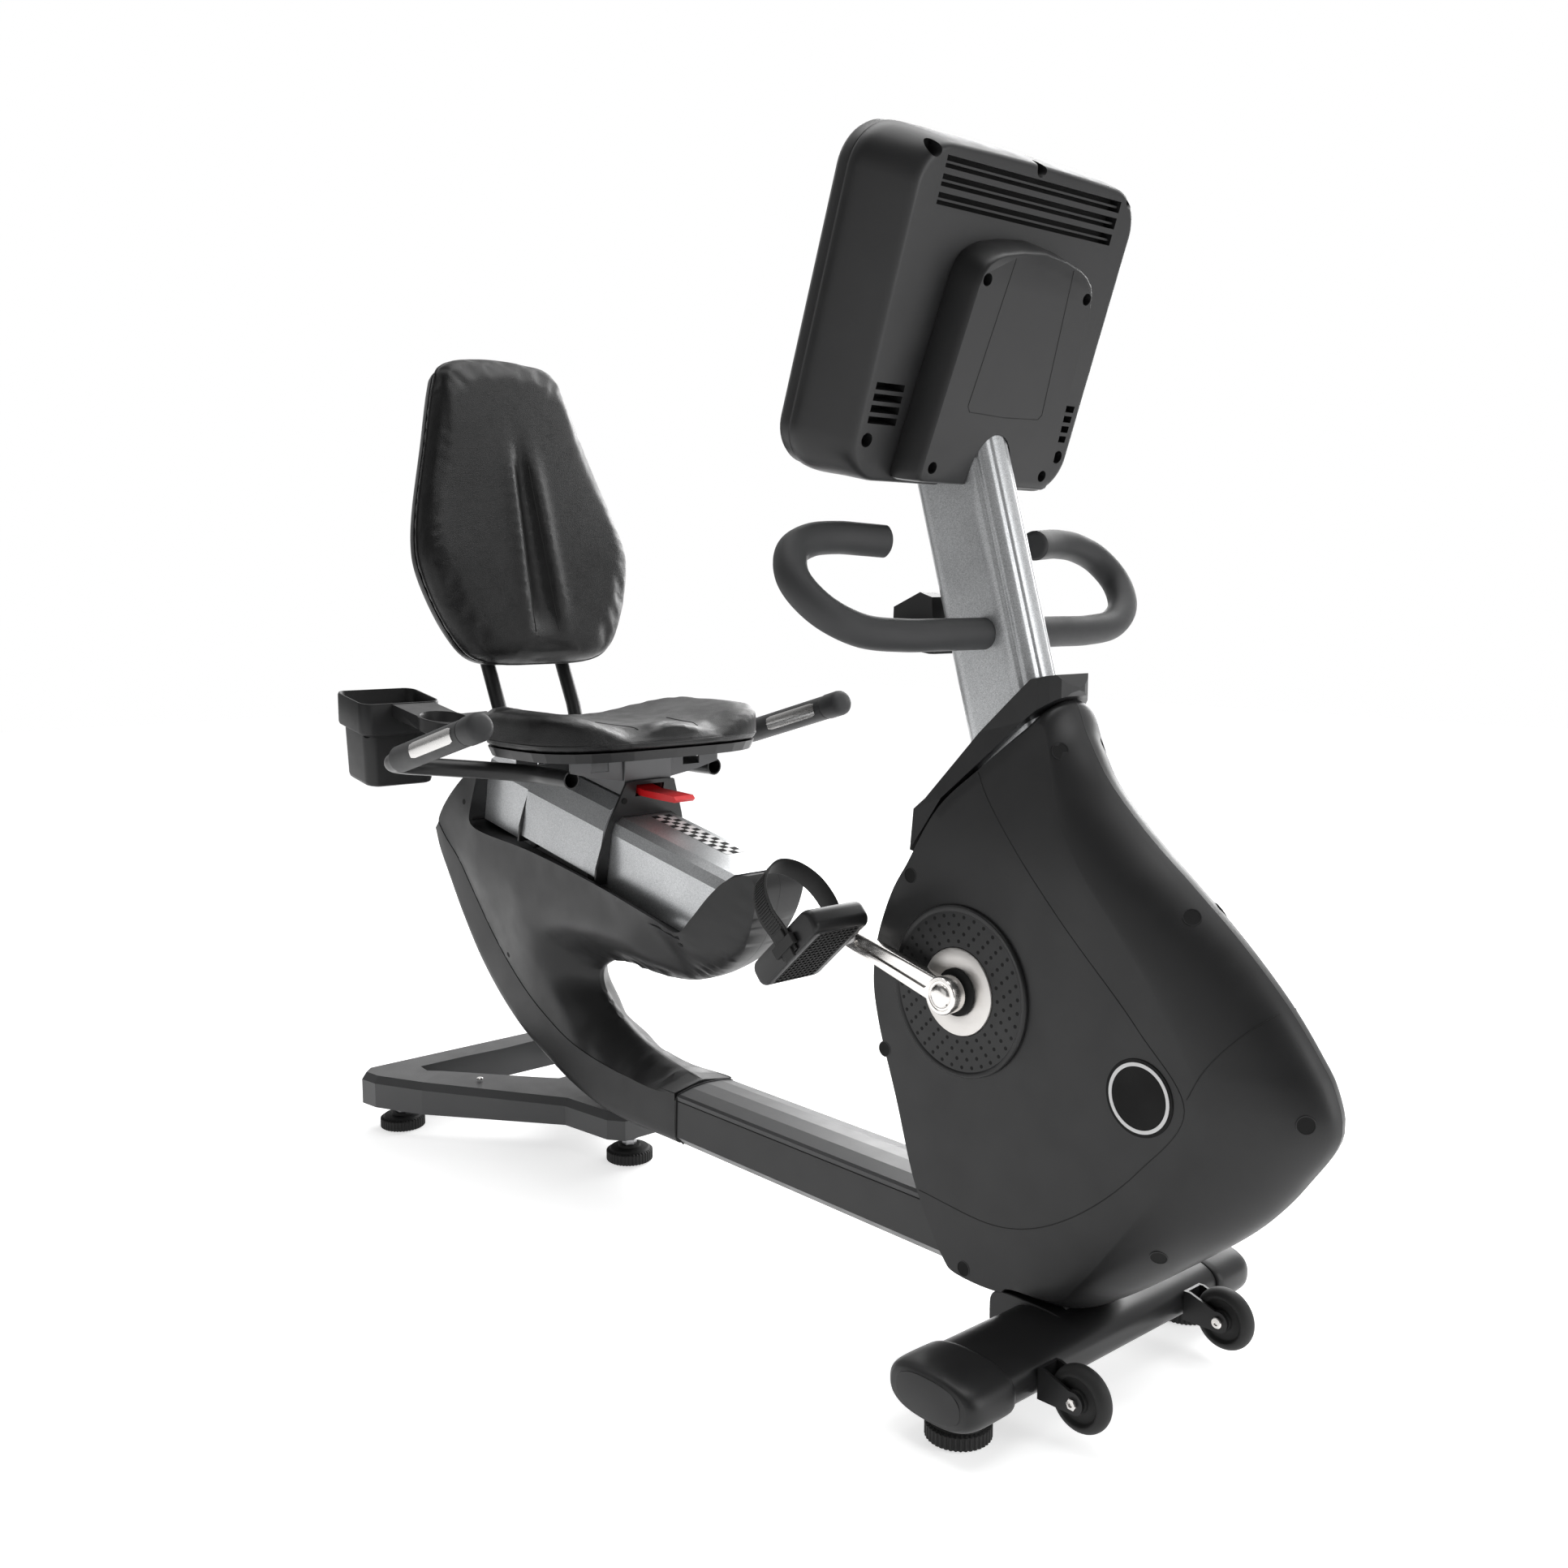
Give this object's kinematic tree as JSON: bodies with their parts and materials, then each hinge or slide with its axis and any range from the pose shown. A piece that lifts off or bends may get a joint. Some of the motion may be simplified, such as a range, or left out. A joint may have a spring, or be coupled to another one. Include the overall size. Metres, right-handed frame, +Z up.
{
  "type": "recumbent exercise bike",
  "caption": "Step-through recumbent exercise bike: sliding reclined seat on a sloping rail, enclosed belt drive with crank and strapped pedals, raked mast with loop bars and a large console.",
  "frame": {"origin": "on the floor, under the centre of the bounding box", "axes": "+X forward, the way the rider faces; +Y the rider's left; +Z up"},
  "size_m": [1.6502, 0.709, 1.4087],
  "materials": {
    "charcoal_plastic": "fine grained satin moulding",
    "charcoal_paint": "satin powder coat",
    "graphite_plastic": "satin moulding",
    "black_paint": "satin powder coat",
    "silver_paint": "silver metallic paint",
    "vinyl": "grained upholstery vinyl over foam",
    "rubber": "matt",
    "foam_rubber": "soft matt sleeve",
    "chrome": "polished",
    "steel": "machined",
    "cast_iron": "as cast",
    "red_plastic": "satin",
    "screen_glass": "glossy dark panel"
  },
  "bodies": {
    "frame": {"accessory_holder": "charcoal_plastic", "beam_cover": "graphite_plastic", "console_back": "charcoal_plastic", "console_bezel": "charcoal_plastic", "console_cover": "charcoal_plastic", "console_screen": "screen_glass", "crank_bearing": "steel", "drive_belt": "rubber", "drive_frame": "black_paint", "foot_centre": "rubber", "foot_front_left": "rubber", "foot_front_right": "rubber", "foot_rear_left": "rubber", "foot_rear_right": "rubber", "front_stabiliser": "black_paint", "handlebar_left": "foam_rubber", "handlebar_right": "foam_rubber", "housing_collar": "charcoal_plastic", "housing_left": "charcoal_plastic", "housing_right": "charcoal_plastic", "hub_cover_left": "charcoal_plastic", "hub_cover_right": "charcoal_plastic", "hub_plate_left": "chrome", "hub_plate_right": "chrome", "main_beam": "charcoal_paint", "mast": "silver_paint", "rear_base": "graphite_plastic", "rear_shroud_left": "charcoal_plastic", "rear_shroud_right": "charcoal_plastic", "rear_spine": "charcoal_plastic", "seat_rail": "silver_paint", "stabiliser_cap_left": "charcoal_plastic", "stabiliser_cap_right": "charcoal_plastic", "wheel_fork_left": "black_paint", "wheel_fork_right": "black_paint"},
    "seat": {"seat_carriage": "silver_paint", "carriage_plate_front": "black_paint", "carriage_plate_rear": "black_paint", "seat_bracket": "black_paint", "grip_left": "foam_rubber", "grip_right": "foam_rubber", "seat_pan": "charcoal_plastic", "seat_cushion": "vinyl", "backrest_frame": "black_paint", "backrest_shell": "charcoal_plastic", "backrest_cushion": "vinyl", "cup_holder": "charcoal_plastic"},
    "lever": {"adjust_lever": "red_plastic"},
    "crank": {"crank_spindle": "steel", "crank_arm_left": "chrome", "crank_arm_right": "chrome", "drive_pulley": "charcoal_plastic"},
    "pedal_left": {"pedal_left": "charcoal_plastic", "pedal_strap_left": "rubber"},
    "pedal_right": {"pedal_right": "charcoal_plastic", "pedal_strap_right": "rubber"},
    "flywheel": {"flywheel": "cast_iron"},
    "wheel_left": {"transport_wheel_left": "rubber"},
    "wheel_right": {"transport_wheel_right": "rubber"}
  },
  "joints": [
    {"name": "seat_slide", "type": "slide", "parent": "frame", "child": "seat", "axis": [0.9816, 0, -0.1908], "range_m": [-0.13, 0.2]},
    {"name": "lever_pull", "type": "hinge", "parent": "seat", "child": "lever", "pos_m": [-0.341, 0, 0.60663], "axis": [0, -1, 0], "range_deg": [0, 12], "stiffness_Nm_per_rad": 1.5, "springref_deg": -8.59},
    {"name": "flywheel_spin", "type": "hinge", "parent": "frame", "child": "flywheel", "pos_m": [0.5884, 0, 0.33], "axis": [0, 1, 0], "continuous": true},
    {"name": "crank_spin", "type": "hinge", "parent": "frame", "child": "crank", "pos_m": [0.3734, 0, 0.4375], "axis": [0, 1, 0], "continuous": true},
    {"name": "pedal_left_spin", "type": "hinge", "parent": "crank", "child": "pedal_left", "pos_m": [0.53806, 0.15, 0.39522], "axis": [0, 1, 0], "continuous": true},
    {"name": "pedal_right_spin", "type": "hinge", "parent": "crank", "child": "pedal_right", "pos_m": [0.20874, -0.15, 0.47978], "axis": [0, 1, 0], "continuous": true},
    {"name": "wheel_left_roll", "type": "hinge", "parent": "frame", "child": "wheel_left", "pos_m": [0.6194, 0.136, 0.057], "axis": [0, 1, 0], "continuous": true},
    {"name": "wheel_right_roll", "type": "hinge", "parent": "frame", "child": "wheel_right", "pos_m": [0.6194, -0.136, 0.057], "axis": [0, 1, 0], "continuous": true}
  ],
  "couplings": [
    {"joint": "crank_spin", "follows": "flywheel_spin", "ratio": 0.18947}
  ]
}
